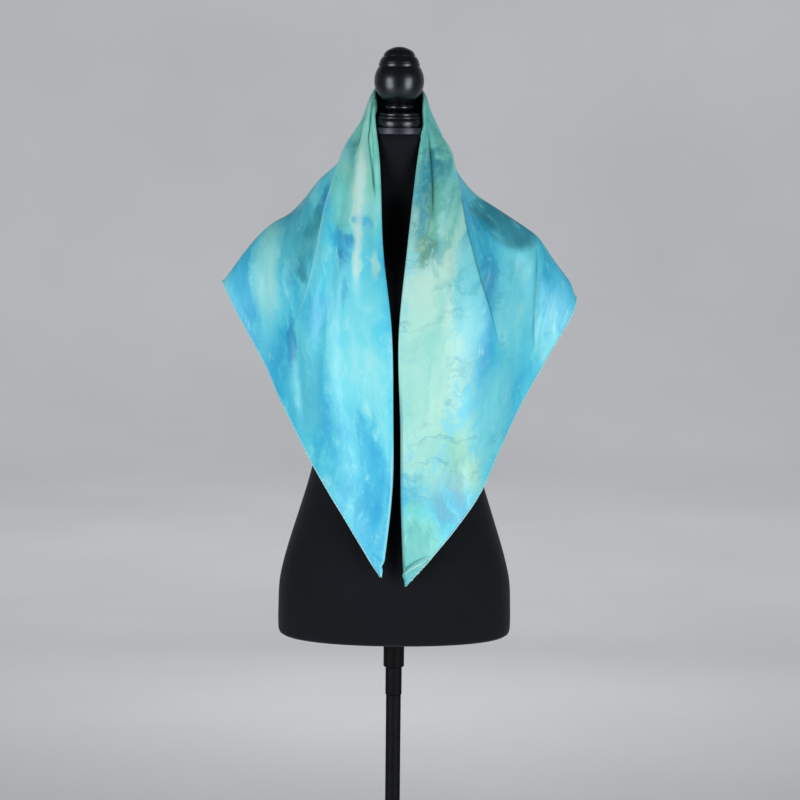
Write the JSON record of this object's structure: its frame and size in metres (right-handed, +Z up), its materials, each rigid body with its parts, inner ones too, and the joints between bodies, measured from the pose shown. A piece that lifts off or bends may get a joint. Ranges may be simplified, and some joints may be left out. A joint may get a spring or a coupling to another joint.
{
  "type": "silk square scarf on a limbless dress form",
  "caption": "Silk square folded to a triangle over a limbless dress form: front points cross the chest, back point hangs low; form on a round-based pole with a turned finial.",
  "frame": {"origin": "centre of the base plate's underside, on the floor", "axes": "+Z up, the form faces -Y, +X to the right as seen from the front"},
  "size_m": [0.4902, 0.36, 1.4966],
  "materials": {
    "silk": "satin silk, dyed in blue, turquoise, mint and olive",
    "silk_hem": "hand rolled silk edge",
    "jersey": "matt black jersey over foam",
    "lacquer": "turned wood, black satin lacquer",
    "band_metal": "dark grey satin",
    "pole_paint": "black powder coat"
  },
  "bodies": {
    "root": {"scarf_cloth": "silk", "hem_left_outer": "silk_hem", "hem_left_under": "silk_hem", "hem_right_outer": "silk_hem", "hem_right_under": "silk_hem", "form_torso": "jersey", "neck_band": "band_metal", "finial": "lacquer", "pole_socket": "pole_paint", "pole_sleeve": "pole_paint", "pole": "pole_paint", "base_hub": "pole_paint", "base_plate": "pole_paint"}
  },
  "joints": []
}
